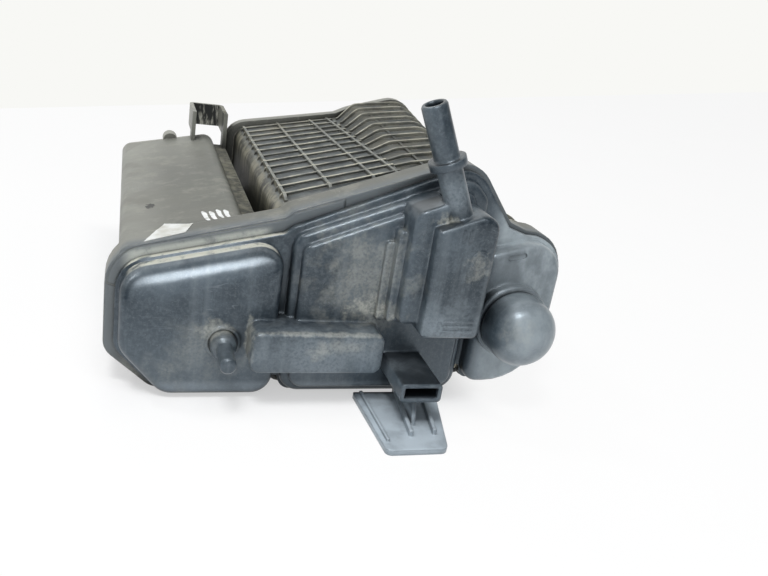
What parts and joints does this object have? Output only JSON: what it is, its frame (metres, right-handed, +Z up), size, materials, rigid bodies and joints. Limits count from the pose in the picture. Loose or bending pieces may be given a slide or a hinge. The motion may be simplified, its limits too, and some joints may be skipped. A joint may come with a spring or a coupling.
{
  "type": "charcoal canister",
  "caption": "Fuel-vapour charcoal canister: ribbed plastic housing packed with carbon, domed welded front cover with hose port, capped vent, clip socket and tongue, and a mounting loop.",
  "frame": {"origin": "under the middle of the whole part's box, on the plane it stands on", "axes": "+X across the front from the nipple to the vent cap, +Y from the ported front to the rear, +Z up"},
  "size_m": [0.244, 0.306, 0.1659],
  "materials": {
    "housing_plastic": "satin",
    "cover_plastic": "satin",
    "plate_plastic": "satin",
    "felt": "matt",
    "carbon": "matt",
    "foam": "matt",
    "spring_wire": "bright"
  },
  "bodies": {
    "root": {"main_housing": "housing_plastic", "front_cover": "cover_plastic", "rear_cover_left": "housing_plastic", "rear_cover_right": "housing_plastic", "vent_cap": "cover_plastic", "vent_filter": "foam", "front_filter_left": "felt", "front_filter_middle": "felt", "front_filter_right": "felt", "carbon_bed_left": "carbon", "carbon_bed_middle": "carbon", "carbon_bed_right": "carbon", "rear_filter_left": "felt", "rear_filter_middle": "felt", "rear_filter_right": "felt", "pressure_plate_left": "plate_plastic", "pressure_plate_middle": "plate_plastic", "pressure_plate_right": "plate_plastic", "spring_left": "spring_wire", "spring_middle_low": "spring_wire", "spring_middle_high": "spring_wire", "spring_right": "spring_wire"}
  },
  "joints": []
}
